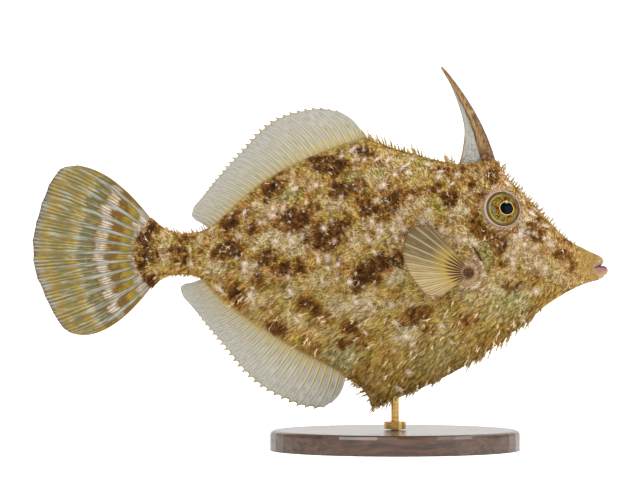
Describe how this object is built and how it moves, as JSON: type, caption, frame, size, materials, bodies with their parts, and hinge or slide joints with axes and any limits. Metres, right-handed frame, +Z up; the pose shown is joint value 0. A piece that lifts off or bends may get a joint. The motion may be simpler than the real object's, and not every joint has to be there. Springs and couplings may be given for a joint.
{
  "type": "aiptasia-eating filefish model",
  "caption": "Still, life-size museum model of a bristle-tail filefish with raised back spine and spread fins, held over a small oval base by one wire rod.",
  "frame": {"origin": "centre of the underside of the whole model's box, on the surface that the oval base stands on", "axes": "+X to the fish's snout, +Y to its left side, +Z up to its back"},
  "size_m": [0.1151, 0.034, 0.0768],
  "materials": {
    "skin": "velvety mottled olive brown and tan with dark brown blotches and pale tassels",
    "fin_membrane": "thin pale grey skin with yellow-tan rays, satin",
    "pectoral_membrane": "thin tan skin with golden rays, satin",
    "tail_membrane": "grey-white skin with olive-brown rays and curved bands, satin",
    "spine": "golden brown with dark marks in front, satin",
    "eye": "glossy, gold, green and brown mottled iris round a blue-black pupil",
    "stand_wood": "dark stained, satin varnish",
    "stand_metal": "drawn and turned, satin"
  },
  "bodies": {
    "root": {"head": "skin", "trunk": "skin", "tail_base": "skin", "belly_flap": "skin", "tail_fin": "tail_membrane", "soft_dorsal_fin": "fin_membrane", "anal_fin": "fin_membrane", "pectoral_fin_left": "pectoral_membrane", "pectoral_fin_right": "pectoral_membrane", "dorsal_spine": "spine", "spine_web": "fin_membrane", "eye_left": "eye", "eye_right": "eye", "stand_base": "stand_wood", "stand_collar": "stand_metal", "stand_rod": "stand_metal"}
  },
  "joints": []
}
